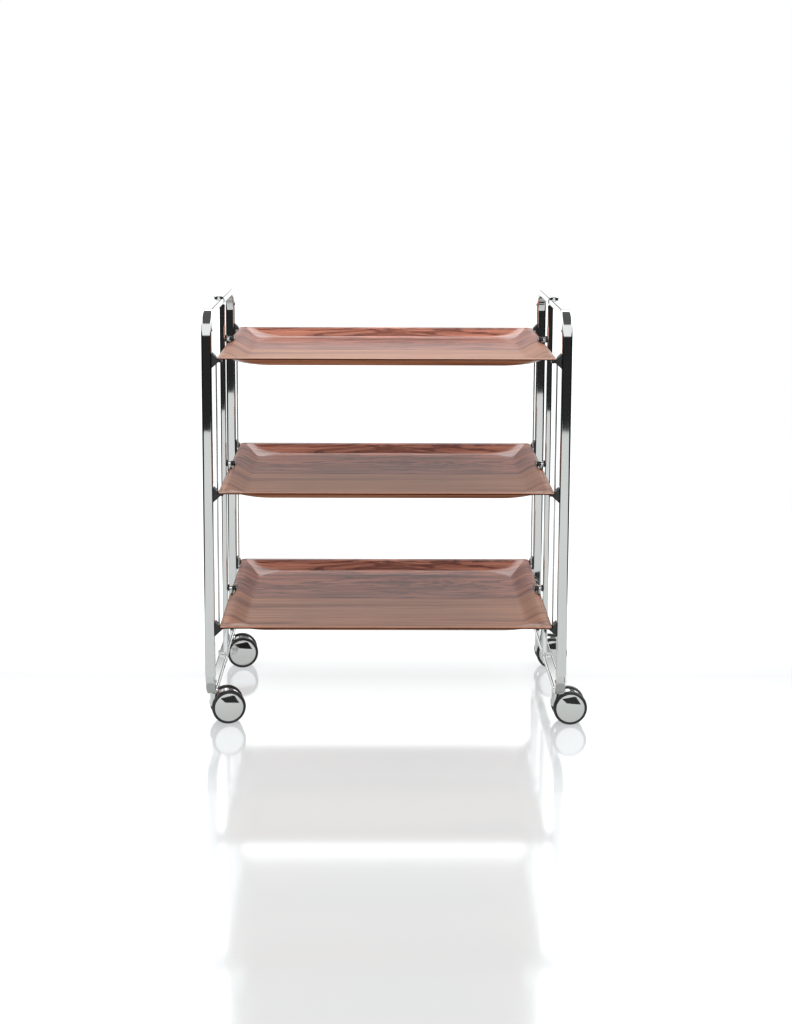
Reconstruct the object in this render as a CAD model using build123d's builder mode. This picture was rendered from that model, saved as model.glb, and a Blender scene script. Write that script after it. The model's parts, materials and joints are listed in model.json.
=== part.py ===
"""Three-tier folding bar cart: chrome end frames, split laminate trays, twin-wheel casters.

Millimetres. X runs along the trays, -Y is the front, +Z is up. The origin is on the floor, under
the middle of the cart's overall box. Every tray is two halves that hinge up about stub axles on the
centre uprights, and the tie rods make the three front halves, and the three rear halves, move as one.
"""
from build123d import *
from math import cos, radians, sin, sqrt
import os

os.makedirs("parts", exist_ok=True)

# ---- Driving dimensions ---------------------------------------------------------------------
# trays
TRAY_LENGTH = 599.0
TRAY_DEPTH = 500.0
RIM_HEIGHTS = {"bottom": 205.0, "middle": 451.0, "top": 692.0}
LAMINATE = 2.6
DISH_DEPTH = 16.0
LEDGE = 8.0
LIP_WIDTH = 40.0
OUTER_CORNER = 7.0
INNER_CORNER = 55.0
LIP_STEPS = 8
NOTCH_LENGTH = 44.0
NOTCH_EDGE = 293.0
SEAM_GAP = 0.6

# end frames, flat tube
FRAME_X = 317.0
TUBE_WIDTH = 18.5
TUBE_THICKNESS = 12.0
TUBE_WALL = 1.5
TUBE_EDGE = 3.5
POST_Y = 237.0
FRAME_TOP = 774.0
FRAME_BOTTOM = 66.0
OUTER_BEND = 46.0
RAIL_END_Y = 11.0

# centre uprights and the knuckles between the rails
UPRIGHT_X = 310.75
UPRIGHT_WIDTH = 10.5
UPRIGHT_DEPTH = 12.0
BARREL_RADIUS = 9.0
PIN_RADIUS = 4.0
COLLAR_HEIGHT = 5.0
CAP_HEIGHT = 4.5
NUT_HEIGHT = 9.0
SHANK_LENGTH = 24.0
UPRIGHT_EDGE = 2.5
CAP_ROUNDING = 2.0
NUT_ROUNDING = 6.0

# rivets at the bends
RIVET_RADIUS = 3.4
RIVET_HEAD = 1.8
RIVET_RISE = 34.0

# tray pivots and tie rods
AXLE_RADIUS = 2.5
AXLE_RISE = 5.0
EYE_RADIUS = 4.5
EYE_WIDTH = 3.7
STRAP_LENGTH = 34.0
STRAP_THICKNESS = 3.0
BOSS_RADIUS = 6.5
BOSS_WIDTH = 2.7
SPACER_RADIUS = 4.4
AXLE_TIP_REACH = 4.5
CROSS_ROD_RADIUS = 3.5
TIE_X = 302.5
TIE_Y = 215.0
TIE_DROP = 7.0
TIE_RADIUS = 1.5
TIE_EYE_RADIUS = 4.0
TIE_EYE_WIDTH = 2.4
TIE_PIN_RADIUS = 1.3
TIE_PIN_REACH = 3.0
LUG_LENGTH = 14.0
LUG_HEIGHT = 9.0
LUG_WIDTH = 7.0
LUG_INSET = 0.5

# corner rests
REST_WIDTH = 19.0
REST_RISE = 8.0
REST_FALL = 19.0
REST_REACH = 14.5
REST_LIP = 3.0
SEAT_RISE = 0.5
SEAT_CLEARANCE = 0.9

# casters
CASTER_Y = 166.0
TRAIL = 24.0
WHEEL_RADIUS = 31.4
WHEEL_WIDTH = 12.7
HOOD_WIDTH = 17.4
HOOD_RADIUS = 29.0
STEM_RADIUS = 4.0
COLUMN_RADIUS = 8.7
SOCKET_RADIUS = 5.5
STEM_END_DROP = 1.5
HOOD_FLOOR = 15.0
TYRE_ROUNDING = 2.4
WHEEL_AXLE_RADIUS = 3.0
DISC_RADIUS = 26.5
DISC_THICKNESS = 1.8
CASTER_ANGLES = {
    ("front", "left"): 13.0,
    ("front", "right"): 3.0,
    ("rear", "left"): 8.0,
    ("rear", "right"): 3.0,
}

# clearances
RUNNING = 0.05
SIDE_GAP = 0.3
SHANK_PLAY = 0.2
KNUCKLE_GAP = 0.1
STRAP_GAP = {"front": 0.5, "rear": 0.2}
SPACER_GAP = 1.0
ROD_GAP = 0.4
OVERLAP = 1.0

# ---- Derived dimensions ---------------------------------------------------------------------
ENDS = {"front": -1, "rear": 1}
SIDES = {"left": -1, "right": 1}

WHEEL_INNER = HOOD_WIDTH / 2 + 2 * SIDE_GAP
WHEEL_OUTER = WHEEL_INNER + WHEEL_WIDTH
INNER_FACE = FRAME_X - TUBE_WIDTH / 2
UPRIGHT_FACE = UPRIGHT_X - UPRIGHT_WIDTH / 2
RAIL_TOP_Z = FRAME_TOP - TUBE_THICKNESS / 2
RAIL_BOTTOM_Z = FRAME_BOTTOM + TUBE_THICKNESS / 2
HALF_TUBE = TUBE_THICKNESS / 2


def caster_overhang():
    """How far the wheels of the right-hand casters reach past the frame's tube, along X."""
    reach = 0.0
    for (end, side), angle in CASTER_ANGLES.items():
        turn = radians(angle)
        if side == "right":
            reach = max(reach, TRAIL * cos(turn) + WHEEL_RADIUS * cos(turn) + WHEEL_OUTER * sin(turn))
    return reach - TUBE_WIDTH / 2


# the casters trail towards +X, so the frame's middle plane stands left of the box's middle
MID_X = -round(caster_overhang() / 2, 1)


def at(side, x):
    """X of a plane that lies x out from the cart's middle, on one side."""
    return MID_X + SIDES[side] * x


def keep(piece, label):
    """Name a finished piece and write its STEP file."""
    piece.label = label
    export_step(piece, f"parts/{label}.step")


# ---- End frames: one bent flat tube per quarter ---------------------------------------------
for end, e in ENDS.items():
    for side in SIDES:
        with BuildPart() as frame:
            with BuildLine(Plane.YZ.offset(at(side, FRAME_X))) as route:
                FilletPolyline(
                    (e * RAIL_END_Y, RAIL_TOP_Z),
                    (e * POST_Y, RAIL_TOP_Z),
                    (e * POST_Y, RAIL_BOTTOM_Z),
                    (e * RAIL_END_Y, RAIL_BOTTOM_Z),
                    radius=OUTER_BEND - HALF_TUBE,
                )
            start = Plane(origin=route.line @ 0, x_dir=(1, 0, 0), z_dir=route.line % 0)
            with BuildSketch(start):
                RectangleRounded(TUBE_WIDTH, TUBE_THICKNESS, TUBE_EDGE)
                RectangleRounded(
                    TUBE_WIDTH - 2 * TUBE_WALL,
                    TUBE_THICKNESS - 2 * TUBE_WALL,
                    TUBE_EDGE - TUBE_WALL,
                    mode=Mode.SUBTRACT,
                )
            sweep(path=route.line)
            # hole in the lower wall for the caster's socket
            with Locations((at(side, FRAME_X), e * CASTER_Y, FRAME_BOTTOM)):
                Cylinder(SOCKET_RADIUS, TUBE_THICKNESS, mode=Mode.SUBTRACT)
        keep(frame.part, f"frame_{end}_{side}")

# ---- Centre uprights, each with its two collars and hinge pins --------------------------------
for side in SIDES:
    with BuildPart() as upright:
        with BuildSketch(Plane.XY.offset(FRAME_BOTTOM + TUBE_THICKNESS)):
            with Locations((at(side, UPRIGHT_X), 0)):
                RectangleRounded(UPRIGHT_WIDTH, UPRIGHT_DEPTH, UPRIGHT_EDGE)
        extrude(amount=FRAME_TOP - FRAME_BOTTOM - 2 * TUBE_THICKNESS)
        with BuildSketch(Plane.XY.offset(FRAME_BOTTOM + TUBE_THICKNESS)):
            with Locations((at(side, FRAME_X), 0)):
                Circle(BARREL_RADIUS)
        extrude(amount=COLLAR_HEIGHT)
        with BuildSketch(Plane.XY.offset(FRAME_TOP - TUBE_THICKNESS)):
            with Locations((at(side, FRAME_X), 0)):
                Circle(BARREL_RADIUS)
        extrude(amount=-COLLAR_HEIGHT)
        with BuildSketch(Plane.XY.offset(FRAME_BOTTOM - NUT_HEIGHT / 2)):
            with Locations((at(side, FRAME_X), 0)):
                Circle(PIN_RADIUS)
        extrude(amount=NUT_HEIGHT / 2 + TUBE_THICKNESS + OVERLAP)
        with BuildSketch(Plane.XY.offset(FRAME_TOP + CAP_HEIGHT / 2)):
            with Locations((at(side, FRAME_X), 0)):
                Circle(PIN_RADIUS)
        extrude(amount=-(CAP_HEIGHT / 2 + TUBE_THICKNESS + OVERLAP))
    keep(upright.part, f"upright_{side}")

# ---- Knuckles: plugs in the rail ends, stacked on the hinge pins ------------------------------
SHANK_WIDTH = TUBE_WIDTH - 2 * (TUBE_WALL + SHANK_PLAY)
SHANK_HEIGHT = TUBE_THICKNESS - 2 * (TUBE_WALL + SHANK_PLAY)
KNUCKLE_HEIGHT = HALF_TUBE - KNUCKLE_GAP
WEB_HEIGHT = KNUCKLE_HEIGHT - TUBE_WALL - SHANK_PLAY
for end, e in ENDS.items():
    with BuildPart() as knuckles:
        for side in SIDES:
            for rail_z in (RAIL_BOTTOM_Z, RAIL_TOP_Z):
                x = at(side, FRAME_X)
                barrel_z = rail_z + e * (KNUCKLE_HEIGHT / 2 + KNUCKLE_GAP)
                web_z = rail_z + e * (WEB_HEIGHT / 2 + KNUCKLE_GAP)
                with Locations((x, 0, barrel_z)):
                    Cylinder(BARREL_RADIUS, KNUCKLE_HEIGHT)
                with Locations((x, e * RAIL_END_Y / 2, web_z)):
                    Box(SHANK_WIDTH, RAIL_END_Y, WEB_HEIGHT)
                with BuildSketch(Plane.XZ.offset(-e * (RAIL_END_Y - OVERLAP))):
                    with Locations((x, rail_z)):
                        RectangleRounded(SHANK_WIDTH, SHANK_HEIGHT, TUBE_EDGE - TUBE_WALL)
                extrude(amount=-e * SHANK_LENGTH)
                with Locations((x, 0, rail_z)):
                    Cylinder(PIN_RADIUS + RUNNING, 2 * TUBE_THICKNESS, mode=Mode.SUBTRACT)
    keep(knuckles.part, f"knuckles_{end}")

# ---- Domed caps above the pins, acorn nuts below them -----------------------------------------
with BuildPart() as pin_caps:
    for side in SIDES:
        with BuildSketch(Plane.XY.offset(FRAME_TOP)):
            with Locations((at(side, FRAME_X), 0)):
                Circle(BARREL_RADIUS)
        extrude(amount=CAP_HEIGHT)
    fillet(pin_caps.faces().sort_by(Axis.Z)[-2:].edges(), CAP_ROUNDING)
    for side in SIDES:
        with Locations((at(side, FRAME_X), 0, FRAME_TOP)):
            Cylinder(PIN_RADIUS, CAP_HEIGHT, mode=Mode.SUBTRACT)
keep(pin_caps.part, "pin_caps")

with BuildPart() as acorn_nuts:
    for side in SIDES:
        with BuildSketch(Plane.XY.offset(FRAME_BOTTOM)):
            with Locations((at(side, FRAME_X), 0)):
                Circle(BARREL_RADIUS)
        extrude(amount=-NUT_HEIGHT)
    fillet(acorn_nuts.faces().sort_by(Axis.Z)[:2].edges(), NUT_ROUNDING)
    for side in SIDES:
        with Locations((at(side, FRAME_X), 0, FRAME_BOTTOM)):
            Cylinder(PIN_RADIUS, NUT_HEIGHT, mode=Mode.SUBTRACT)
keep(acorn_nuts.part, "acorn_nuts")

# ---- Rivets across the tubes at the bends ------------------------------------------------------
BEND_RADIUS = OUTER_BEND - HALF_TUBE
RIVET_Y = POST_Y - BEND_RADIUS + sqrt(BEND_RADIUS ** 2 - (OUTER_BEND - RIVET_RISE) ** 2)
with BuildPart() as frame_rivets:
    for side in SIDES:
        for e in ENDS.values():
            for z in (FRAME_BOTTOM + RIVET_RISE, FRAME_TOP - RIVET_RISE):
                with Locations((at(side, INNER_FACE - RIVET_HEAD / 2), e * RIVET_Y, z)):
                    Cylinder(RIVET_RADIUS, RIVET_HEAD, rotation=(0, 90, 0))
keep(frame_rivets.part, "frame_rivets")

# ---- Cross rods under the seams ----------------------------------------------------------------
with BuildPart() as cross_rods:
    for rim in RIM_HEIGHTS.values():
        drop = LAMINATE + DISH_DEPTH + ROD_GAP + CROSS_ROD_RADIUS
        with Locations((MID_X, 0, rim - drop)):
            Cylinder(CROSS_ROD_RADIUS, 2 * UPRIGHT_FACE, rotation=(0, 90, 0))
keep(cross_rods.part, "cross_rods")

# ---- Stub axles with spacers, and the black bosses behind them ---------------------------------
AXLE_TIP = NOTCH_EDGE - AXLE_TIP_REACH
SPACER_INNER = NOTCH_EDGE + EYE_WIDTH + SPACER_GAP
SPACER_OUTER = UPRIGHT_FACE - BOSS_WIDTH
with BuildPart() as stub_axles:
    for side in SIDES:
        for rim in RIM_HEIGHTS.values():
            z = rim + AXLE_RISE
            with Locations((at(side, (UPRIGHT_FACE + AXLE_TIP) / 2), 0, z)):
                Cylinder(AXLE_RADIUS, UPRIGHT_FACE - AXLE_TIP, rotation=(0, 90, 0))
            with Locations((at(side, (SPACER_OUTER + SPACER_INNER) / 2), 0, z)):
                Cylinder(SPACER_RADIUS, SPACER_OUTER - SPACER_INNER, rotation=(0, 90, 0))
keep(stub_axles.part, "stub_axles")

with BuildPart() as axle_bosses:
    for side in SIDES:
        for rim in RIM_HEIGHTS.values():
            with Locations((at(side, UPRIGHT_FACE - BOSS_WIDTH / 2), 0, rim + AXLE_RISE)):
                Cylinder(BOSS_RADIUS, BOSS_WIDTH, rotation=(0, 90, 0))
                Cylinder(AXLE_RADIUS, BOSS_WIDTH, rotation=(0, 90, 0), mode=Mode.SUBTRACT)
keep(axle_bosses.part, "axle_bosses")

# ---- Corner rests: triangular seats on the posts' inner faces ----------------------------------
SEAT_EDGE = TRAY_LENGTH / 2 + SEAT_CLEARANCE
for end, e in ENDS.items():
    for side in SIDES:
        with BuildPart() as rests:
            for rim in RIM_HEIGHTS.values():
                near = POST_Y + HALF_TUBE
                with BuildSketch(Plane.XZ.offset(-e * near)):
                    with BuildLine():
                        Polyline(
                            (at(side, INNER_FACE), rim + REST_RISE),
                            (at(side, SEAT_EDGE), rim + SEAT_RISE),
                            (at(side, SEAT_EDGE), rim - LAMINATE),
                            (at(side, INNER_FACE - REST_REACH), rim - LAMINATE),
                            (at(side, INNER_FACE - REST_REACH), rim - LAMINATE - REST_LIP),
                            (at(side, INNER_FACE), rim - REST_FALL),
                            close=True,
                        )
                    make_face()
                extrude(amount=e * REST_WIDTH)
        keep(rests.part, f"corner_rests_{end}_{side}")

# ---- Caster sockets inside the lower rails -----------------------------------------------------
STEM_TOP = FRAME_BOTTOM + TUBE_THICKNESS - TUBE_WALL - STEM_END_DROP
with BuildPart() as sockets:
    for e in ENDS.values():
        for side in SIDES:
            with BuildSketch(Plane.XY.offset(FRAME_BOTTOM)):
                with Locations((at(side, FRAME_X), e * CASTER_Y)):
                    Circle(SOCKET_RADIUS)
            extrude(amount=TUBE_THICKNESS - TUBE_WALL)
            with BuildSketch(Plane.XY.offset(FRAME_BOTTOM)):
                with Locations((at(side, FRAME_X), e * CASTER_Y)):
                    Circle(STEM_RADIUS + RUNNING)
            extrude(amount=STEM_TOP - FRAME_BOTTOM + SIDE_GAP, mode=Mode.SUBTRACT)
keep(sockets.part, "caster_sockets")


# ---- Trays: dished laminate halves ---------------------------------------------------------------
def lip_sections():
    """Inset, drop and corner radius of the dish, from the ledge down a soft S to the floor."""
    for step in range(LIP_STEPS + 1):
        t = step / LIP_STEPS
        inset = LEDGE + LIP_WIDTH * t
        drop = DISH_DEPTH * t * t * (3 - 2 * t)
        corner = OUTER_CORNER + (INNER_CORNER - OUTER_CORNER) * t
        yield inset, drop, corner


for tier, rim in RIM_HEIGHTS.items():
    for end, e in ENDS.items():
        with BuildPart() as tray:
            with BuildSketch(Plane.XY.offset(rim - LAMINATE)):
                with Locations((MID_X, 0)):
                    RectangleRounded(TRAY_LENGTH, TRAY_DEPTH, OUTER_CORNER)
            extrude(amount=LAMINATE)
            for inset, drop, corner in lip_sections():
                with BuildSketch(Plane.XY.offset(rim - LAMINATE - drop)):
                    with Locations((MID_X, 0)):
                        RectangleRounded(TRAY_LENGTH - 2 * inset, TRAY_DEPTH - 2 * inset, corner)
            loft(ruled=True)
            for inset, drop, corner in lip_sections():
                with BuildSketch(Plane.XY.offset(rim - drop)):
                    with Locations((MID_X, 0)):
                        RectangleRounded(TRAY_LENGTH - 2 * inset, TRAY_DEPTH - 2 * inset, corner)
            loft(ruled=True, mode=Mode.SUBTRACT)
            # a notch in each end, round the stub axle
            for side in SIDES:
                with Locations((at(side, TRAY_LENGTH / 2), 0, rim)):
                    notch_width = TRAY_LENGTH - 2 * NOTCH_EDGE
                    Box(notch_width, NOTCH_LENGTH, 4 * DISH_DEPTH, mode=Mode.SUBTRACT)
            # the other half is cut away at the seam
            with Locations((MID_X, -e * (TRAY_DEPTH / 2 - SEAM_GAP / 2), rim)):
                Box(2 * TRAY_LENGTH, TRAY_DEPTH, 4 * DISH_DEPTH, mode=Mode.SUBTRACT)
        keep(tray.part, f"tray_{tier}_{end}")

# ---- Tray fittings: hinge straps above the ledge, tie-rod lugs with their pins below it ----------
STRAP_OUTER = {
    "front": NOTCH_EDGE + STRAP_GAP["front"] + EYE_WIDTH,
    "rear": NOTCH_EDGE + STRAP_GAP["rear"],
}
for tier, rim in RIM_HEIGHTS.items():
    for end, e in ENDS.items():
        with BuildPart() as fittings:
            for side in SIDES:
                strap_x = at(side, STRAP_OUTER[end] - EYE_WIDTH / 2)
                with BuildSketch(Plane.YZ.offset(strap_x)):
                    with Locations((0, rim + AXLE_RISE)):
                        Circle(EYE_RADIUS)
                    with Locations((e * STRAP_LENGTH / 2, rim + STRAP_THICKNESS / 2)):
                        Rectangle(STRAP_LENGTH, STRAP_THICKNESS)
                    with Locations((0, rim + AXLE_RISE)):
                        Circle(AXLE_RADIUS + RUNNING, mode=Mode.SUBTRACT)
                extrude(amount=EYE_WIDTH / 2, both=True)
                lug_x = TRAY_LENGTH / 2 - LUG_INSET - LUG_WIDTH / 2
                with Locations((at(side, lug_x), e * TIE_Y, rim - LAMINATE - LUG_HEIGHT / 2)):
                    Box(LUG_WIDTH, LUG_LENGTH, LUG_HEIGHT)
                pin_end = TIE_X + TIE_EYE_WIDTH / 2 + OVERLAP
                pin_start = TRAY_LENGTH / 2 - TIE_PIN_REACH
                with Locations((at(side, (pin_end + pin_start) / 2), e * TIE_Y, rim - TIE_DROP)):
                    Cylinder(TIE_PIN_RADIUS, pin_end - pin_start, rotation=(0, 90, 0))
        keep(fittings.part, f"fittings_{tier}_{end}")

# ---- Tie rods: one at each tray corner, with an eye at every tier --------------------------------
ROD_LOW = RIM_HEIGHTS["bottom"] - TIE_DROP
ROD_HIGH = RIM_HEIGHTS["top"] - TIE_DROP
for end, e in ENDS.items():
    with BuildPart() as tie_rods:
        for side in SIDES:
            with BuildSketch(Plane.XY.offset(ROD_LOW)):
                with Locations((at(side, TIE_X), e * TIE_Y)):
                    Circle(TIE_RADIUS)
            extrude(amount=ROD_HIGH - ROD_LOW)
            for rim in RIM_HEIGHTS.values():
                with Locations((at(side, TIE_X), e * TIE_Y, rim - TIE_DROP)):
                    Cylinder(TIE_EYE_RADIUS, TIE_EYE_WIDTH, rotation=(0, 90, 0))
                    Cylinder(
                        TIE_PIN_RADIUS + RUNNING,
                        2 * TIE_EYE_WIDTH,
                        rotation=(0, 90, 0),
                        mode=Mode.SUBTRACT,
                    )
    keep(tie_rods.part, f"tie_rods_{end}")


# ---- Casters: hood with stem, axle, two wheels with tyres and chrome discs -----------------------
def caster_plane(end, side):
    """Plane on the floor under a caster's stem, its X axis along the trail."""
    turn = radians(CASTER_ANGLES[end, side])
    return Plane(
        origin=(at(side, FRAME_X), ENDS[end] * CASTER_Y, 0),
        x_dir=(cos(turn), sin(turn), 0),
        z_dir=(0, 0, 1),
    )


COLUMN_TOP = FRAME_BOTTOM - SIDE_GAP
AXLE_LENGTH = 2 * (WHEEL_OUTER - DISC_THICKNESS - OVERLAP)
for end in ENDS:
    for side in SIDES:
        with BuildPart(caster_plane(end, side)) as hood:
            with Locations((TRAIL, 0, WHEEL_RADIUS)):
                Cylinder(HOOD_RADIUS, HOOD_WIDTH, rotation=(90, 0, 0))
            with Locations((TRAIL, 0, 0)):
                Box(3 * HOOD_RADIUS, 2 * HOOD_WIDTH, 2 * HOOD_FLOOR, mode=Mode.SUBTRACT)
            with Locations((0, 0, (WHEEL_RADIUS + COLUMN_TOP) / 2)):
                Cylinder(COLUMN_RADIUS, COLUMN_TOP - WHEEL_RADIUS)
            with Locations((0, 0, (WHEEL_RADIUS + STEM_TOP) / 2)):
                Cylinder(STEM_RADIUS, STEM_TOP - WHEEL_RADIUS)
            with Locations((TRAIL, 0, WHEEL_RADIUS)):
                Cylinder(WHEEL_AXLE_RADIUS, 2 * HOOD_WIDTH, rotation=(90, 0, 0), mode=Mode.SUBTRACT)
        keep(hood.part, f"caster_hood_{end}_{side}")

        with BuildPart(caster_plane(end, side)) as axle:
            with Locations((TRAIL, 0, WHEEL_RADIUS)):
                Cylinder(WHEEL_AXLE_RADIUS, AXLE_LENGTH, rotation=(90, 0, 0))
        keep(axle.part, f"caster_axle_{end}_{side}")

        for face, f in {"near": -1, "far": 1}.items():
            with BuildPart(caster_plane(end, side)) as wheel:
                with Locations((TRAIL, f * (WHEEL_INNER + WHEEL_WIDTH / 2), WHEEL_RADIUS)):
                    Cylinder(WHEEL_RADIUS, WHEEL_WIDTH, rotation=(90, 0, 0))
                fillet(wheel.edges().filter_by(GeomType.CIRCLE), TYRE_ROUNDING)
                with Locations((TRAIL, f * WHEEL_OUTER, WHEEL_RADIUS)):
                    Cylinder(DISC_RADIUS, 2 * DISC_THICKNESS, rotation=(90, 0, 0), mode=Mode.SUBTRACT)
                with Locations((TRAIL, f * (AXLE_LENGTH / 4 + SIDE_GAP / 2), WHEEL_RADIUS)):
                    Cylinder(
                        WHEEL_AXLE_RADIUS + RUNNING,
                        AXLE_LENGTH / 2 + SIDE_GAP,
                        rotation=(90, 0, 0),
                        mode=Mode.SUBTRACT,
                    )
            keep(wheel.part, f"wheel_{end}_{side}_{face}")

            with BuildPart(caster_plane(end, side)) as disc:
                with Locations((TRAIL, f * (WHEEL_OUTER - DISC_THICKNESS / 2), WHEEL_RADIUS)):
                    Cylinder(DISC_RADIUS, DISC_THICKNESS, rotation=(90, 0, 0))
            keep(disc.part, f"wheel_disc_{end}_{side}_{face}")
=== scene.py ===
"""Looks of the folding bar cart: laminate trays, polished chrome, black plastic, white studio."""

import json
from math import cos, pi, radians, sin

import bmesh
import bpy
from mathutils import Matrix, Vector

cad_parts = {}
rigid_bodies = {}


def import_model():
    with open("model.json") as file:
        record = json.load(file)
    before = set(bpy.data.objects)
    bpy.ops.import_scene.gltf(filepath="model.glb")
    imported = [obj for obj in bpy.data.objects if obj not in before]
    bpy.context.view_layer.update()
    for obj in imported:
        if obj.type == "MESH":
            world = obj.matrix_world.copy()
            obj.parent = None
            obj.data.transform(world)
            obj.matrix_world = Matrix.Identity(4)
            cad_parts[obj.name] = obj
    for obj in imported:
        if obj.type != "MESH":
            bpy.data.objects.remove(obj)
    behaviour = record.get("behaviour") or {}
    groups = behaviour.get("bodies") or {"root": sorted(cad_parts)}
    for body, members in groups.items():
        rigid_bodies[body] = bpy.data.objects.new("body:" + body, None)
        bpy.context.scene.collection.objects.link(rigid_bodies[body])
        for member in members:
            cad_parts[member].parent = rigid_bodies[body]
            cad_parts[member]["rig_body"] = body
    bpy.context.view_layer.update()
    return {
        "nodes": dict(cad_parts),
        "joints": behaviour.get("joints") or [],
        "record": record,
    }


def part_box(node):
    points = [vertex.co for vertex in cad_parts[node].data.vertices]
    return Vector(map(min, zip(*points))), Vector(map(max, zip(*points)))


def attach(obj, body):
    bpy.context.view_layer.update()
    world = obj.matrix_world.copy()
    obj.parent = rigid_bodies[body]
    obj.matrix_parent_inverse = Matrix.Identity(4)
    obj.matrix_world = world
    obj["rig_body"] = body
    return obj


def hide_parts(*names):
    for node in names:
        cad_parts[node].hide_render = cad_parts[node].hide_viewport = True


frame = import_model()

TIERS = ("top", "middle", "bottom")
ENDS = {"front": -1, "rear": 1}
SIDES = {"left": -1, "right": 1}
MM = 0.001


# ---- Where the frame says things are -------------------------------------------------------------
def centre_of(node):
    """Middle of a CAD node's box."""
    low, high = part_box(node)
    return (low + high) / 2


def joint_of(child):
    """The CAD joint that carries a body."""
    return next(j for j in frame["joints"] if j["child"] == child)


MIDDLE_X = centre_of("tray_top_front").x
TRAY_LOW, TRAY_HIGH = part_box("tray_top_front")
TRAY_LENGTH = TRAY_HIGH.x - TRAY_LOW.x
TRAY_DEPTH = 2 * abs(TRAY_LOW.y)
SEAM = abs(TRAY_HIGH.y)


# ---- Node helpers --------------------------------------------------------------------------------
def new_material(name):
    """An empty node material and its Principled shader."""
    material = bpy.data.materials.new(name)
    material.use_nodes = True
    tree = material.node_tree
    shader = tree.nodes["Principled BSDF"]
    return material, tree, shader


def place(tree, kind, **inputs):
    """A shader node with its sockets set by name; underscores stand for spaces."""
    node = tree.nodes.new(kind)
    for key, value in inputs.items():
        node.inputs[key.replace("_", " ")].default_value = value
    return node


def stretched(tree, scale, offset=(0.0, 0.0, 0.0)):
    """Object coordinates, scaled and moved, so that the pattern stays fixed to the piece."""
    where = tree.nodes.new("ShaderNodeTexCoord")
    mapping = tree.nodes.new("ShaderNodeMapping")
    mapping.inputs["Scale"].default_value = scale
    mapping.inputs["Location"].default_value = offset
    tree.links.new(where.outputs["Object"], mapping.inputs["Vector"])
    return mapping.outputs["Vector"]


def noise(tree, vector, scale, detail=4.0, roughness=0.5, distortion=0.0):
    """Noise along a vector."""
    node = place(tree, "ShaderNodeTexNoise", Scale=scale, Detail=detail, Roughness=roughness)
    node.inputs["Distortion"].default_value = distortion
    tree.links.new(vector, node.inputs["Vector"])
    return node.outputs["Fac"]


def ramp(tree, factor, *stops):
    """A colour ramp through (position, colour) stops."""
    node = tree.nodes.new("ShaderNodeValToRGB")
    points = node.color_ramp.elements
    while len(points) < len(stops):
        points.new(0.5)
    for point, (position, colour) in zip(points, stops):
        point.position = position
        point.color = (*colour, 1.0)
    tree.links.new(factor, node.inputs["Fac"])
    return node.outputs["Color"]


def grey(value):
    """A grey as a colour."""
    return (value, value, value)


def mix(tree, factor, first, second, blend="MIX"):
    """Two colours mixed by a factor, which is a number or a socket."""
    node = tree.nodes.new("ShaderNodeMix")
    node.data_type = "RGBA"
    node.blend_type = blend
    if isinstance(factor, float):
        node.inputs["Factor"].default_value = factor
    else:
        tree.links.new(factor, node.inputs["Factor"])
    tree.links.new(first, node.inputs["A"])
    tree.links.new(second, node.inputs["B"])
    return node.outputs["Result"]


def map_range(tree, value, low, high, to_low=0.0, to_high=1.0):
    """A socket's range from low to high, mapped to another range."""
    node = place(tree, "ShaderNodeMapRange", From_Min=low, From_Max=high, To_Min=to_low, To_Max=to_high)
    tree.links.new(value, node.inputs["Value"])
    return node.outputs["Result"]


def constant(tree, colour):
    """A colour as a socket."""
    node = tree.nodes.new("ShaderNodeRGB")
    node.outputs["Color"].default_value = (*colour, 1.0)
    return node.outputs["Color"]


def bump(tree, shader, height, strength, distance):
    """Fine relief on a shader."""
    node = place(tree, "ShaderNodeBump", Strength=strength, Distance=distance)
    tree.links.new(height, node.inputs["Height"])
    tree.links.new(node.outputs["Normal"], shader.inputs["Normal"])


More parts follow.
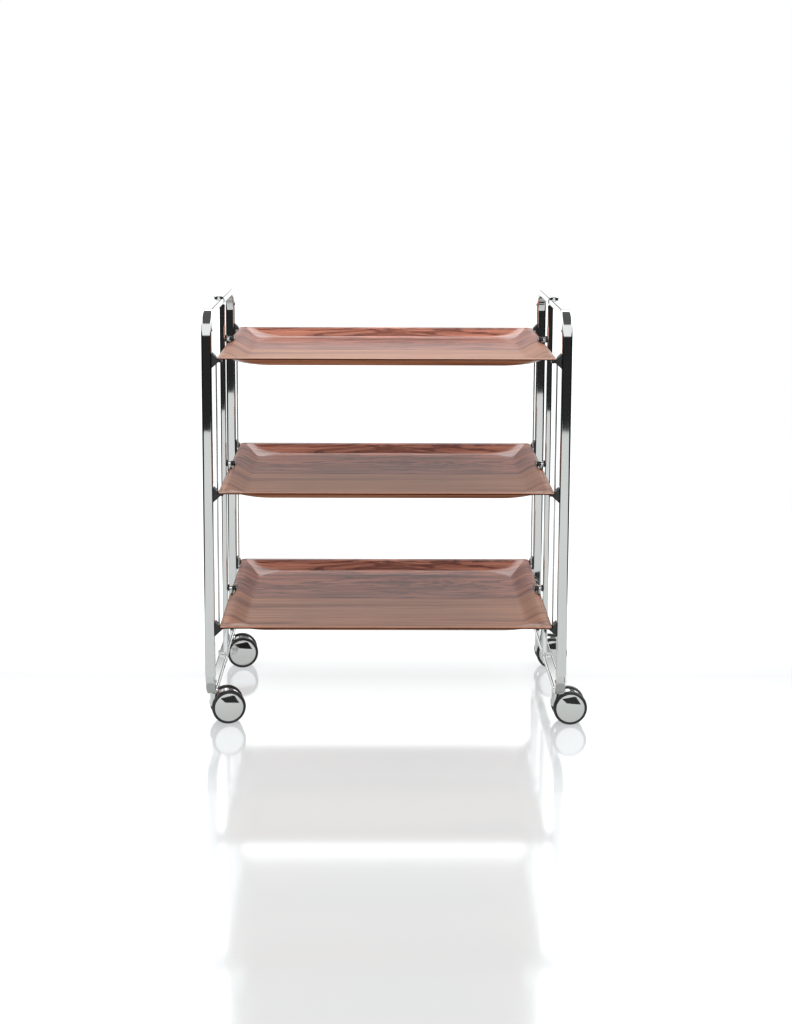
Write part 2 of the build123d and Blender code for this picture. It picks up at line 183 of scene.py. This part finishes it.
# ---- Materials -----------------------------------------------------------------------------------
def laminate():
    """Satin rosewood laminate: streaks along X, redder and darker figured behind the seam."""
    material, tree, shader = new_material("rosewood_laminate")
    broad = noise(tree, stretched(tree, (1.1, 34.0, 0.0)), 1.0, 5.0, 0.6, 0.9)
    streaks = noise(tree, stretched(tree, (2.2, 170.0, 0.0), (3.1, 0.4, 0.0)), 1.0, 6.0, 0.62, 0.5)
    pores = noise(tree, stretched(tree, (16.0, 900.0, 0.0), (1.3, 0.0, 0.0)), 1.0, 2.0, 0.5)
    figure = noise(tree, stretched(tree, (3.2, 22.0, 0.0), (0.7, 2.2, 0.0)), 1.0, 5.0, 0.62, 1.8)

    plain = ramp(
        tree,
        broad,
        (0.32, (0.150, 0.046, 0.022)),
        (0.45, (0.300, 0.118, 0.060)),
        (0.56, (0.410, 0.182, 0.098)),
        (0.68, (0.200, 0.066, 0.032)),
    )
    red = ramp(
        tree,
        broad,
        (0.30, (0.070, 0.016, 0.010)),
        (0.42, (0.265, 0.086, 0.054)),
        (0.55, (0.385, 0.150, 0.098)),
        (0.68, (0.150, 0.038, 0.024)),
    )
    dark = ramp(tree, figure, (0.43, grey(1.0)), (0.50, (0.26, 0.19, 0.22)), (0.57, grey(1.0)))
    red = mix(tree, 0.9, red, dark, "MULTIPLY")

    # the two veneers meet at the seam, which runs along X through the middle of the cart
    seam = tree.nodes.new("ShaderNodeSeparateXYZ")
    tree.links.new(stretched(tree, (1.0, 1.0, 0.0)), seam.inputs["Vector"])
    behind = tree.nodes.new("ShaderNodeMath")
    behind.operation = "GREATER_THAN"
    behind.inputs[1].default_value = 0.0
    tree.links.new(seam.outputs["Y"], behind.inputs[0])
    colour = mix(tree, behind.outputs["Value"], plain, red)

    fine = ramp(tree, streaks, (0.32, grey(0.36)), (0.47, grey(0.86)), (0.66, grey(1.0)))
    colour = mix(tree, 0.85, colour, fine, "MULTIPLY")
    pits = ramp(tree, pores, (0.34, grey(0.5)), (0.44, grey(1.0)))
    colour = mix(tree, 0.5, colour, pits, "MULTIPLY")
    tree.links.new(colour, shader.inputs["Base Color"])

    gloss = ramp(tree, streaks, (0.3, grey(0.30)), (0.7, grey(0.40)))
    tree.links.new(gloss, shader.inputs["Roughness"])
    shader.inputs["Specular IOR Level"].default_value = 0.12
    shader.inputs["Coat Weight"].default_value = 0.45
    shader.inputs["Coat Roughness"].default_value = 0.12
    bump(tree, shader, streaks, 0.04, 0.0004)
    return material


def laminate_edge():
    """The dark resin core that shows along the trimmed edges."""
    material, tree, shader = new_material("laminate_core_edge")
    layers = noise(tree, stretched(tree, (3.0, 3.0, 2600.0)), 1.0, 2.0)
    colour = ramp(tree, layers, (0.4, (0.010, 0.003, 0.001)), (0.6, (0.032, 0.011, 0.006)))
    tree.links.new(colour, shader.inputs["Base Color"])
    shader.inputs["Roughness"].default_value = 0.5
    shader.inputs["Specular IOR Level"].default_value = 0.05
    return material


def chrome(name, tint, low, high):
    """Polished plate with faint wiping marks, between two roughness limits."""
    material, tree, shader = new_material(name)
    marks = noise(tree, stretched(tree, (35.0, 35.0, 9.0)), 1.0, 5.0, 0.6, 0.3)
    haze = noise(tree, stretched(tree, (6.0, 6.0, 6.0), (0.3, 0.1, 0.8)), 1.0, 3.0)
    colour = ramp(tree, haze, (0.3, tuple(c * 0.96 for c in tint)), (0.7, tint))
    rough = ramp(tree, marks, (0.35, grey(low)), (0.75, grey(high)))
    tree.links.new(colour, shader.inputs["Base Color"])
    tree.links.new(rough, shader.inputs["Roughness"])
    shader.inputs["Metallic"].default_value = 1.0
    bump(tree, shader, haze, 0.02, 0.002)
    return material


def plastic(name, colour, low, high, grain):
    """Moulded plastic or rubber: fine grain in its bump and its gloss."""
    material, tree, shader = new_material(name)
    fine = noise(tree, stretched(tree, (grain, grain, grain)), 1.0, 3.0, 0.6)
    wear = noise(tree, stretched(tree, (28.0, 28.0, 28.0)), 1.0, 4.0, 0.6)
    shade = ramp(tree, wear, (0.35, colour), (0.75, tuple(1.7 * c + 0.004 for c in colour)))
    rough = ramp(tree, fine, (0.3, grey(low)), (0.7, grey(high)))
    tree.links.new(shade, shader.inputs["Base Color"])
    tree.links.new(rough, shader.inputs["Roughness"])
    bump(tree, shader, fine, 0.25, 0.0002)
    return material


LAMINATE = laminate()
CORE = laminate_edge()
CHROME = chrome("polished_chrome", (0.86, 0.875, 0.88), 0.02, 0.045)
DISC_CHROME = chrome("disc_chrome", (0.84, 0.86, 0.86), 0.03, 0.06)
STEEL = chrome("bright_steel", (0.56, 0.57, 0.58), 0.16, 0.26)
PLASTIC = plastic("black_moulded_plastic", (0.012, 0.012, 0.013), 0.30, 0.42, 1500.0)
TYRE = plastic("black_tyre", (0.010, 0.010, 0.011), 0.34, 0.48, 900.0)
MATERIAL_OF_SLOT = {
    "chrome": CHROME,
    "steel": STEEL,
    "laminate": LAMINATE,
    "black_plastic": PLASTIC,
    "tyre": TYRE,
}
SLOT_OF_NODE = {s["node"]: s["material_slot"] for s in frame["record"]["subparts"]}


# ---- Mesh helpers --------------------------------------------------------------------------------
# points closer than this, in metres, are one point
SAME_POINT = 1e-7
SAME_CORNER = 1e-6
# in a rounded copy, edges under the flat angle are dissolved and those over the sharp one rounded
FLAT_ANGLE = 1.0
SHARP_ANGLE = 40.0
# width of the rounding in millimetres, and its segments
ROUNDINGS = {
    "corner_rests": (0.9, 3),
    "caster_hood": (1.3, 4),
    "knuckles": (0.5, 2),
    "tie_rods": (0.3, 2),
    "fittings": (0.5, 2),
    "axle_bosses": (0.6, 3),
    "stub_axles": (0.4, 2),
}


def mesh_object(name, bm, materials):
    """Turn a bmesh into an object of the scene."""
    mesh = bpy.data.meshes.new(name)
    bm.to_mesh(mesh)
    bm.free()
    for material in materials:
        mesh.materials.append(material)
    made = bpy.data.objects.new(name, mesh)
    bpy.context.scene.collection.objects.link(made)
    return made


def finish_piece(name, bm, materials, body, replaced=(), crease=32.0):
    """Turn a bmesh into a shaded piece that rides on a body; edges sharper than the crease stay sharp."""
    bmesh.ops.recalc_face_normals(bm, faces=bm.faces)
    piece = mesh_object(name, bm, materials)
    piece.data.polygons.foreach_set("use_smooth", [True] * len(piece.data.polygons))
    piece.data.set_sharp_from_angle(angle=radians(crease))
    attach(piece, body)
    if replaced:
        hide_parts(*replaced)
    return piece


def lathe(bm, profile, centre, axis, steps):
    """Turn (distance along the axis, radius) points about an axis and close the ends."""
    axis = Vector(axis).normalized()
    side = axis.orthogonal().normalized()
    other = axis.cross(side)
    rings = []
    for along, radius in profile:
        if radius < SAME_POINT:
            rings.append([bm.verts.new(centre + axis * along)])
            continue
        ring = []
        for step in range(steps):
            turn = 2 * pi * step / steps
            spoke = side * cos(turn) + other * sin(turn)
            ring.append(bm.verts.new(centre + axis * along + spoke * radius))
        rings.append(ring)
    for first, second in zip(rings, rings[1:]):
        for step in range(steps):
            after = (step + 1) % steps
            corners = []
            for ring, index in ((first, step), (first, after), (second, after), (second, step)):
                vert = ring[index % len(ring)]
                if vert not in corners:
                    corners.append(vert)
            if len(corners) > 2:
                bm.faces.new(corners)


def softened(node, kind):
    """A copy of a CAD node with its sharp edges rounded, in place of the node."""
    width, segments = ROUNDINGS[kind]
    source = frame["nodes"][node]
    bm = bmesh.new()
    bm.from_mesh(source.data)
    bmesh.ops.remove_doubles(bm, verts=bm.verts, dist=SAME_CORNER)
    bmesh.ops.dissolve_limit(bm, angle_limit=radians(FLAT_ANGLE), verts=bm.verts, edges=bm.edges)
    piece = finish_piece(
        f"{node}_rounded",
        bm,
        [MATERIAL_OF_SLOT[SLOT_OF_NODE[node]]],
        source["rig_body"],
        (node,),
        crease=SHARP_ANGLE,
    )
    bevel = piece.modifiers.new("rounded_edges", "BEVEL")
    bevel.width = width * MM
    bevel.segments = segments
    bevel.limit_method = "ANGLE"
    bevel.angle_limit = radians(SHARP_ANGLE)
    bevel.harden_normals = True
    return piece


# ---- Trays ---------------------------------------------------------------------------------------
LAMINATE_THICKNESS = 2.6 * MM
LEDGE = 8 * MM
LIP_WIDTH = 40 * MM
DISH_DEPTH = TRAY_HIGH.z - TRAY_LOW.z - LAMINATE_THICKNESS
OUTER_CORNER = 7 * MM
INNER_CORNER = 55 * MM
NOTCH_DEPTH = 6.5 * MM
NOTCH_HALF = 22 * MM
# the notch follows the rim's rounding, then leans inwards by this share of the inset
NOTCH_ROUNDING = 1.3 * MM
NOTCH_LEAN = 0.02
# half the width of the step at the notch's end, and the depths from the seam of the points beside it
NOTCH_STEP = 0.4 * MM
NOTCH_POINTS = (8 * MM, 15 * MM)
BEYOND_NOTCH = 30 * MM
SIDE_STEPS = 12
CORNER_STEPS = 16
LONG_STEPS = 48
LIP_RINGS = 22
# inset and drop in millimetres of the rounded rim, from the ledge round the trimmed edge to below
RIM_PROFILE = (
    (5.0, 0.0),
    (3.6, -0.1),
    (2.2, -0.42),
    (1.0, -0.82),
    (0.35, -1.15),
    (0.0, -1.6),
    (0.0, -2.1),
    (0.12, -2.35),
    (0.4, -2.52),
    (0.8, -2.6),
    (4.0, -2.6),
)
# the dark core shows on this many bands of the rim, after the first few
EDGE_AFTER = 3
EDGE_BANDS = 6
TRAY_CREASE = 50.0


def lip_ring(t):
    """Inset, drop and corner radius of the dish at a place on its S-shaped lip, 0 to 1."""
    return (
        LEDGE + LIP_WIDTH * t,
        -DISH_DEPTH * t * t * (3 - 2 * t),
        OUTER_CORNER + (INNER_CORNER - OUTER_CORNER) * t,
    )


def half_outline(inset, corner, e):
    """Points round one tray half from the seam at the left end to the seam at the right end."""
    half_x = TRAY_LENGTH / 2 - inset
    half_y = TRAY_DEPTH / 2 - inset
    edge_limit = TRAY_LENGTH / 2 - NOTCH_DEPTH
    edge_limit -= min(inset, NOTCH_ROUNDING) + NOTCH_LEAN * max(0.0, inset - NOTCH_ROUNDING)
    depths = [SEAM, *NOTCH_POINTS, NOTCH_HALF - NOTCH_STEP, NOTCH_HALF + NOTCH_STEP, BEYOND_NOTCH]
    straight = half_y - corner - BEYOND_NOTCH
    depths += [BEYOND_NOTCH + straight * k / SIDE_STEPS for k in range(1, SIDE_STEPS + 1)]
    side_points = []
    for depth in depths:
        x = half_x
        if depth < NOTCH_HALF:
            x = min(x, edge_limit)
        side_points.append((x, depth))
    arc = []
    for k in range(1, CORNER_STEPS):
        turn = pi / 2 * k / CORNER_STEPS
        arc.append((half_x - corner + corner * cos(turn), half_y - corner + corner * sin(turn)))
    front = []
    for k in range(LONG_STEPS + 1):
        x = -(half_x - corner) + 2 * (half_x - corner) * k / LONG_STEPS
        front.append((x, half_y))
    left = [(-x, y) for x, y in side_points + arc]
    right = list(reversed(side_points + arc))
    return [(MIDDLE_X + x, e * y) for x, y in left + front + right]


def tray_half(tier, end):
    """One dished laminate half with a rounded rim and a dark core edge."""
    e = ENDS[end]
    node = f"tray_{tier}_{end}"
    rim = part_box(node)[1].z
    sections = [lip_ring(k / LIP_RINGS) for k in range(LIP_RINGS, -1, -1)]
    sections += [(inset * MM, drop * MM, OUTER_CORNER) for inset, drop in RIM_PROFILE]
    under = [lip_ring(k / LIP_RINGS) for k in range(LIP_RINGS + 1)]
    sections += [(inset, drop - LAMINATE_THICKNESS, corner) for inset, drop, corner in under]
    edge_start = LIP_RINGS + 1 + EDGE_AFTER
    edge_stop = edge_start + EDGE_BANDS

    bm = bmesh.new()
    rings = []
    for inset, drop, corner in sections:
        rings.append([bm.verts.new((x, y, rim + drop)) for x, y in half_outline(inset, corner, e)])
    for number, (first, second) in enumerate(zip(rings, rings[1:])):
        for k in range(len(first) - 1):
            face = bm.faces.new((first[k], first[k + 1], second[k + 1], second[k]))
            face.material_index = 1 if edge_start <= number < edge_stop else 0
    bm.faces.new(rings[0])
    bm.faces.new(rings[-1])
    # the cut along the seam: quads between matching rings above and below, and one across the floor
    count = len(rings)
    for place_on_ring in (0, -1):
        for k in range(count // 2 - 1):
            quad = [rings[i][place_on_ring] for i in (k, k + 1, count - 2 - k, count - 1 - k)]
            bm.faces.new(quad).material_index = 1
        middle = [rings[i][place_on_ring] for i in range(count // 2 - 1, count - count // 2 + 1)]
        if len(middle) > 2:
            bm.faces.new(middle).material_index = 1
    bm.faces.new((rings[0][0], rings[0][-1], rings[-1][-1], rings[-1][0])).material_index = 1
    body = f"{tier}_{end}_half"
    finish_piece(f"{tier}_{end}_tray", bm, [LAMINATE, CORE], body, (node,), TRAY_CREASE)


for tier in TIERS:
    for end in ENDS:
        tray_half(tier, end)


# ---- Wheels and discs ----------------------------------------------------------------------------
WHEEL_STEPS = 96
DISC_RADIUS = 26.5 * MM
# (distance along the axle from the wheel's middle, radius) of the tyre's outline, millimetres
TYRE_PROFILE = (
    (-6.35, 3.1),
    (-6.35, 25.0),
    (-6.15, 27.6),
    (-5.5, 29.6),
    (-4.4, 30.8),
    (-2.6, 31.35),
    (0.0, 31.4),
    (2.6, 31.35),
    (4.4, 30.8),
    (5.5, 29.7),
    (6.0, 28.6),
    (6.1, 27.6),
    (5.9, 26.9),
    (5.4, 26.55),
    (4.5, 26.5),
    (4.5, 3.1),
)
# the pressed disc: its back and the top of its dome along the axle, and its rolled edge in millimetres
DISC_BACK = 4.6 * MM
DISC_FACE = 6.35 * MM
DISC_DOME = 1.2 * MM
DOME_RADIUS = 25.4 * MM
DOME_STEPS = 24
ROLLED_EDGE = ((4.6, 26.2), (4.75, 26.45), (4.95, 26.4), (5.1, 26.1))


def disc_profile():
    """The pressed disc: a flat back, a rolled edge and a domed face."""
    points = [(DISC_BACK, 0.0)] + [(along * MM, radius * MM) for along, radius in ROLLED_EDGE]
    for k in range(DOME_STEPS, -1, -1):
        radius = DOME_RADIUS * k / DOME_STEPS
        points.append((DISC_FACE - DISC_DOME * (radius / DISC_RADIUS) ** 2, radius))
    return points


def wheel(name):
    """A tyre and the chrome disc in its outer face."""
    joint = joint_of(f"wheel_{name}")
    middle = centre_of(f"wheel_{name}")
    hub = Vector(joint["pos_m"])
    axis = Vector(joint["axis"])
    outward = axis if (middle - hub).dot(axis) > 0 else -axis
    tyre = bmesh.new()
    outline = [(along * MM, radius * MM) for along, radius in TYRE_PROFILE]
    lathe(tyre, outline + outline[:1], middle, outward, WHEEL_STEPS)
    bmesh.ops.remove_doubles(tyre, verts=tyre.verts, dist=SAME_POINT)
    finish_piece(f"tyre_{name}", tyre, [TYRE], f"wheel_{name}", (f"wheel_{name}",))
    disc = bmesh.new()
    lathe(disc, disc_profile(), middle, outward, WHEEL_STEPS)
    replaced = (f"wheel_disc_{name}",)
    finish_piece(f"disc_{name}", disc, [DISC_CHROME], f"wheel_{name}", replaced)


for end in ENDS:
    for side in SIDES:
        for face in ("near", "far"):
            wheel(f"{end}_{side}_{face}")


# ---- Rivets --------------------------------------------------------------------------------------
RIVET_HEAD = 1.7 * MM
RIVET_RADIUS = 3.4 * MM
RIVET_STEPS = 32
# share of a head's height that its straight edge takes, and the steps of its dome
HEAD_EDGE = 0.25
HEAD_STEPS = 6


def dome(bm, base, outward, radius, height):
    """A domed head standing on a face."""
    profile = [(0.0, 0.0), (0.0, radius)]
    for k in range(1, HEAD_STEPS + 1):
        turn = pi / 2 * k / HEAD_STEPS
        profile.append((height * (HEAD_EDGE + (1 - HEAD_EDGE) * sin(turn)), radius * cos(turn)))
    lathe(bm, profile, base, outward, RIVET_STEPS)


def all_rivets():
    """Domed rivet heads on the posts' inner faces, at the bends."""
    low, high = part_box("frame_rivets")
    bm = bmesh.new()
    for s in SIDES.values():
        for e in ENDS.values():
            for z in (low.z + RIVET_RADIUS, high.z - RIVET_RADIUS):
                x = high.x if s > 0 else low.x
                y = (high.y - RIVET_RADIUS) * e
                dome(bm, Vector((x, y, z)), Vector((-s, 0, 0)), RIVET_RADIUS, RIVET_HEAD)
    finish_piece("rivet_heads", bm, [STEEL], "end_frames", ("frame_rivets",))


all_rivets()

# ---- Rounded copies of the sharp-edged CAD pieces ------------------------------------------------
for end in ENDS:
    for side in SIDES:
        softened(f"corner_rests_{end}_{side}", "corner_rests")
        softened(f"caster_hood_{end}_{side}", "caster_hood")
    softened(f"knuckles_{end}", "knuckles")
    softened(f"tie_rods_{end}", "tie_rods")
    for tier in TIERS:
        softened(f"fittings_{tier}_{end}", "fittings")
softened("axle_bosses", "axle_bosses")
softened("stub_axles", "stub_axles")

# ---- CAD nodes that stay as they are -------------------------------------------------------------
for node, obj in frame["nodes"].items():
    material = MATERIAL_OF_SLOT[SLOT_OF_NODE[node]]
    obj.data.materials.clear()
    obj.data.materials.append(material)

# ---- Floor and cards -----------------------------------------------------------------------------
FLOOR_FRONT = -3.42
FLOOR_BACK = 9.0
FLOOR_SIDE = 1.15
# places along Y between which the floor's colour turns paler, and its glow stronger
PALER_START = -1.75
PALER_END = -1.3
GLOW_START = 0.1
GLOW_END = 0.45
FRONT_TONE = (0.15, 0.16, 0.155)
CART_TONE = (0.20, 0.206, 0.208)
REFLECTED_TONE = (0.100, 0.104, 0.099)
FRONT_GLOW = 2.3
BACK_GLOW = 5.0
CARD_LIFT = 0.001
CARD_GREY = 0.02
# corners of the dark patch on a disc, in disc radii across and up from its hub
PATCH_ON_DISC = ((-0.72, 0.30), (0.28, 0.40), (0.62, 0.72), (-0.35, 0.90))
# the camera's distance before the cart, height and place beside the cart's middle
CAMERA_OUT = 3.135
CAMERA_HEIGHT = 1.072
CAMERA_SIDE = -0.0137
CAMERA_PLACE = Vector((MIDDLE_X + CAMERA_SIDE, -CAMERA_OUT, CAMERA_HEIGHT))


def floor_material():
    """Gloss floor that glows, more behind the cart; reflections show it darker than the camera sees it."""
    material, tree, shader = new_material("studio_floor")
    where = tree.nodes.new("ShaderNodeTexCoord")
    split = tree.nodes.new("ShaderNodeSeparateXYZ")
    tree.links.new(where.outputs["Object"], split.inputs["Vector"])
    along = map_range(tree, split.outputs["Y"], PALER_START, PALER_END)
    tone = ramp(tree, along, (0.0, FRONT_TONE), (1.0, CART_TONE))
    path = tree.nodes.new("ShaderNodeLightPath")
    shown = mix(tree, path.outputs["Is Glossy Ray"], tone, constant(tree, REFLECTED_TONE))
    tree.links.new(shown, shader.inputs["Base Color"])
    tree.links.new(shown, shader.inputs["Emission Color"])
    glow = map_range(tree, split.outputs["Y"], GLOW_START, GLOW_END, FRONT_GLOW, BACK_GLOW)
    tree.links.new(glow, shader.inputs["Emission Strength"])
    shader.inputs["IOR"].default_value = 3.0
    shader.inputs["Roughness"].default_value = 0.10
    return material


def card_material():
    """Black from above, clear from below, so that the floor's own gloss doesn't show the card."""
    material, tree, shader = new_material("reflection_flag")
    shader.inputs["Base Color"].default_value = (*grey(CARD_GREY), 1.0)
    shader.inputs["Specular IOR Level"].default_value = 0.0
    facing = tree.nodes.new("ShaderNodeNewGeometry")
    opaque = tree.nodes.new("ShaderNodeMath")
    opaque.operation = "SUBTRACT"
    opaque.inputs[0].default_value = 1.0
    tree.links.new(facing.outputs["Backfacing"], opaque.inputs[1])
    tree.links.new(opaque.outputs["Value"], shader.inputs["Alpha"])
    return material


def studio_floor():
    """A pale gloss sheet; its front and side ends show in the chrome's reflections."""
    bm = bmesh.new()
    corners = (
        (-FLOOR_SIDE, FLOOR_FRONT),
        (FLOOR_SIDE, FLOOR_FRONT),
        (FLOOR_SIDE, FLOOR_BACK),
        (-FLOOR_SIDE, FLOOR_BACK),
    )
    bm.faces.new([bm.verts.new((x, y, 0.0)) for x, y in corners])
    sheet = mesh_object("studio_floor", bm, [floor_material()])


def card(end, side, material):
    """A dark card on the floor, seen in reflections only.

    It lies where rays from the camera land after bouncing off a disc's dome, so the dark patch that
    it makes on the disc is in place from this camera alone.
    """
    joint = joint_of(f"wheel_{end}_{side}_near")
    face = Vector(joint["axis"])
    if face.y > 0:
        face = -face
    up = Vector((0, 0, 1))
    across = face.cross(up).normalized()
    hub = centre_of(f"wheel_disc_{end}_{side}_near")
    bm = bmesh.new()
    corners = []
    for u, v in PATCH_ON_DISC:
        offset = (across * u + up * v) * DISC_RADIUS
        point = hub + offset
        tilt = 2 * DISC_DOME * offset / DISC_RADIUS**2
        normal = (face + tilt).normalized()
        ray = (point - CAMERA_PLACE).normalized()
        bounce = ray - 2 * ray.dot(normal) * normal
        landing = point + bounce * ((CARD_LIFT - point.z) / bounce.z)
        corners.append(bm.verts.new(landing))
    card_face = bm.faces.new(corners)
    card_face.normal_update()
    if card_face.normal.z < 0:
        card_face.normal_flip()
    sheet = mesh_object(f"flag_{end}_{side}", bm, [material])
    sheet.visible_camera = False
    sheet.visible_diffuse = False
    sheet.visible_shadow = False


# ---- Light and world -----------------------------------------------------------------------------
LIGHT_AIM = Vector((0.0, 0.0, 0.4))
# name, place, width and height in metres, and watts
LIGHTS = (
    ("overhead", (0.0, 0.2, 2.9), 3.2, 3.2, 74.0),
    ("front_fill", (0.0, -3.0, 1.7), 2.6, 1.2, 34.0),
    ("left_panel", (-2.6, -0.6, 1.3), 1.2, 2.2, 16.0),
    ("right_panel", (2.6, -0.2, 1.3), 1.2, 2.2, 12.0),
)
WORLD_PEAK = 2.8
# half the width, as a share of a direction, over which the front's reflections turn into the back's
FRONT_TO_BACK = 0.12
# how far a direction points sideways where the dark gap starts and where it is full
GAP_START = 0.48
GAP_END = 0.60


def soft_light(name, position, width, height, power):
    """A rectangular area light that points at the cart and doesn't show in reflections."""
    lamp = bpy.data.lights.new(name, "AREA")
    lamp.shape = "RECTANGLE"
    lamp.size = width
    lamp.size_y = height
    lamp.energy = power
    lamp_object = bpy.data.objects.new(name, lamp)
    bpy.context.scene.collection.objects.link(lamp_object)
    lamp_object.location = position
    aim = LIGHT_AIM - Vector(position)
    lamp_object.rotation_euler = aim.to_track_quat("-Z", "Y").to_euler()
    lamp_object.visible_glossy = False


def height_stop(elevation, value):
    """A ramp stop for a direction's elevation in degrees, with a grey relative to the brightest."""
    return ((sin(radians(elevation)) + 1) / 2, grey(value / WORLD_PEAK))


def studio_world():
    """White for the camera and for soft light; for reflections, bright bands with dark gaps."""
    world = bpy.data.worlds.new("studio")
    world.use_nodes = True
    tree = world.node_tree
    background = tree.nodes["Background"]
    where = tree.nodes.new("ShaderNodeTexCoord")
    split = tree.nodes.new("ShaderNodeSeparateXYZ")
    tree.links.new(where.outputs["Generated"], split.inputs["Vector"])
    height = map_range(tree, split.outputs["Z"], -1.0, 1.0)
    front = ramp(
        tree,
        height,
        height_stop(-90, 0.03),
        height_stop(2, 0.02),
        height_stop(5, 0.95),
        height_stop(50, 0.95),
        height_stop(56, 0.10),
        height_stop(90, 0.10),
    )
    back = ramp(
        tree,
        height,
        height_stop(-90, 1.25),
        height_stop(5.8, 1.25),
        height_stop(7.2, 0.45),
        height_stop(9.5, 0.16),
        height_stop(17, 0.12),
        height_stop(20, 2.2),
        height_stop(38, 2.8),
        height_stop(45, 0.12),
        height_stop(90, 0.10),
    )
    behind = map_range(tree, split.outputs["Y"], -FRONT_TO_BACK, FRONT_TO_BACK)
    seen = mix(tree, behind, front, back)
    # narrow dark gaps to the left and right draw the thin dark lines along the chrome's edges
    across = tree.nodes.new("ShaderNodeMath")
    across.operation = "ABSOLUTE"
    tree.links.new(split.outputs["X"], across.inputs[0])
    gap = ramp(tree, across.outputs["Value"], (GAP_START, grey(1.0)), (GAP_END, grey(0.05)))
    low = ramp(tree, height, height_stop(8, WORLD_PEAK), height_stop(16, 0.0))
    gap = mix(tree, low, constant(tree, grey(1.0)), gap)
    seen = mix(tree, 1.0, seen, gap, "MULTIPLY")
    path = tree.nodes.new("ShaderNodeLightPath")
    plain = constant(tree, grey(1.0 / WORLD_PEAK))
    colour = mix(tree, path.outputs["Is Glossy Ray"], plain, seen)
    tree.links.new(colour, background.inputs["Color"])
    background.inputs["Strength"].default_value = WORLD_PEAK
    bpy.context.scene.world = world


# ---- Camera --------------------------------------------------------------------------------------
LENS = 58.39
SENSOR_WIDTH = 36.0
SHIFT = -0.1295
PITCH = 8.22
YAW = -0.59
ROLL = 0.24


def photo_camera():
    """The camera in front of the cart, a little left of its middle, looking slightly down."""
    data = bpy.data.cameras.new("camera")
    data.lens = LENS
    data.sensor_width = SENSOR_WIDTH
    data.shift_y = SHIFT
    camera = bpy.data.objects.new("camera", data)
    bpy.context.scene.collection.objects.link(camera)
    turn = Matrix.Rotation(radians(YAW), 4, "Z") @ Matrix.Rotation(radians(90.0 - PITCH), 4, "X")
    turn = turn @ Matrix.Rotation(radians(ROLL), 4, "Z")
    camera.matrix_world = Matrix.Translation(CAMERA_PLACE) @ turn
    bpy.context.scene.camera = camera


studio_floor()
studio_world()
CARD = card_material()
for end in ENDS:
    for side in SIDES:
        card(end, side, CARD)
for light in LIGHTS:
    soft_light(*light)
photo_camera()
bpy.context.scene.view_settings.view_transform = "Standard"
